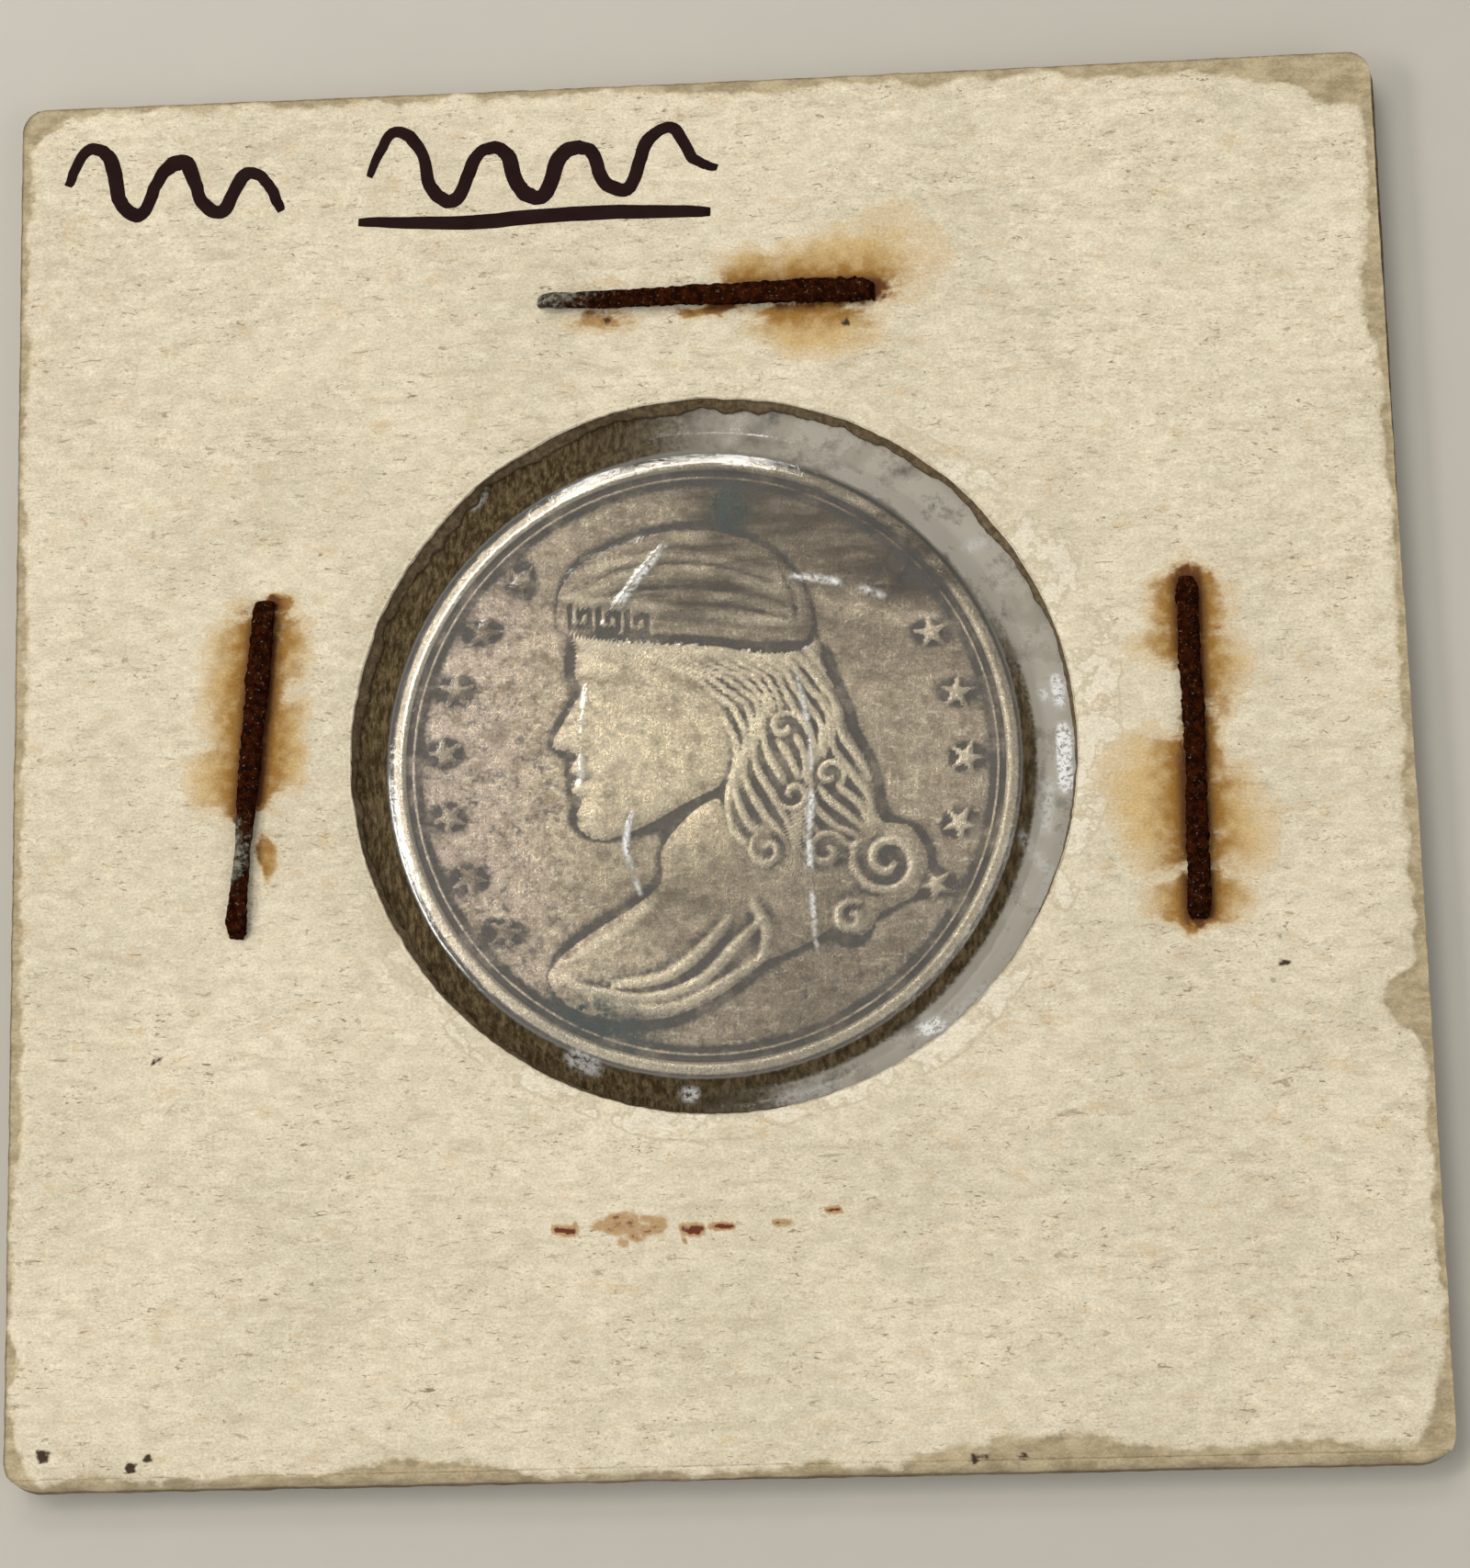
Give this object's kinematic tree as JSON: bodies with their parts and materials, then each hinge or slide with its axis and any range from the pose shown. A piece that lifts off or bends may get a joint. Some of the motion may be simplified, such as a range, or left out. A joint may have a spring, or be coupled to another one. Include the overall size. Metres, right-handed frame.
{
  "type": "transit token",
  "caption": "Struck metal token held between clear films in a folded card holder with round windows, pinned shut by flat-clinched wire staples.",
  "frame": {"origin": "centre of the card's footprint, on the plane that the clinched staple legs rest on", "axes": "+Z out of the front face, +X to the right seen from the front, +Y from the fold to the open edge"},
  "size_m": [0.0508, 0.0514, 0.0021],
  "materials": {
    "token_metal": "toned and worn",
    "board_core": "raw",
    "cream_paper": "matt",
    "clear_film": "gloss",
    "rusty_wire": "rusted"
  },
  "bodies": {
    "rear_leaf": {"rear_board": "board_core", "rear_facing": "cream_paper", "rear_film": "clear_film", "fold_strip": "cream_paper"},
    "front_leaf": {"front_board": "board_core", "front_facing": "cream_paper", "front_film": "clear_film", "top_staple": "rusty_wire", "left_staple": "rusty_wire", "right_staple": "rusty_wire"},
    "token": {"token": "token_metal"}
  },
  "joints": [
    {"name": "fold_hinge", "type": "hinge", "parent": "rear_leaf", "child": "front_leaf", "pos_m": [0, -0.0257, 0.00103], "axis": [1, 0, 0], "range_deg": [0, 165], "deforming": ["fold_strip", "top_staple", "left_staple", "right_staple"]},
    {"name": "token_spin", "type": "hinge", "parent": "rear_leaf", "child": "token", "pos_m": [-0.00007, -0.00018, 0.00103], "axis": [0, 0, 1], "continuous": true}
  ]
}
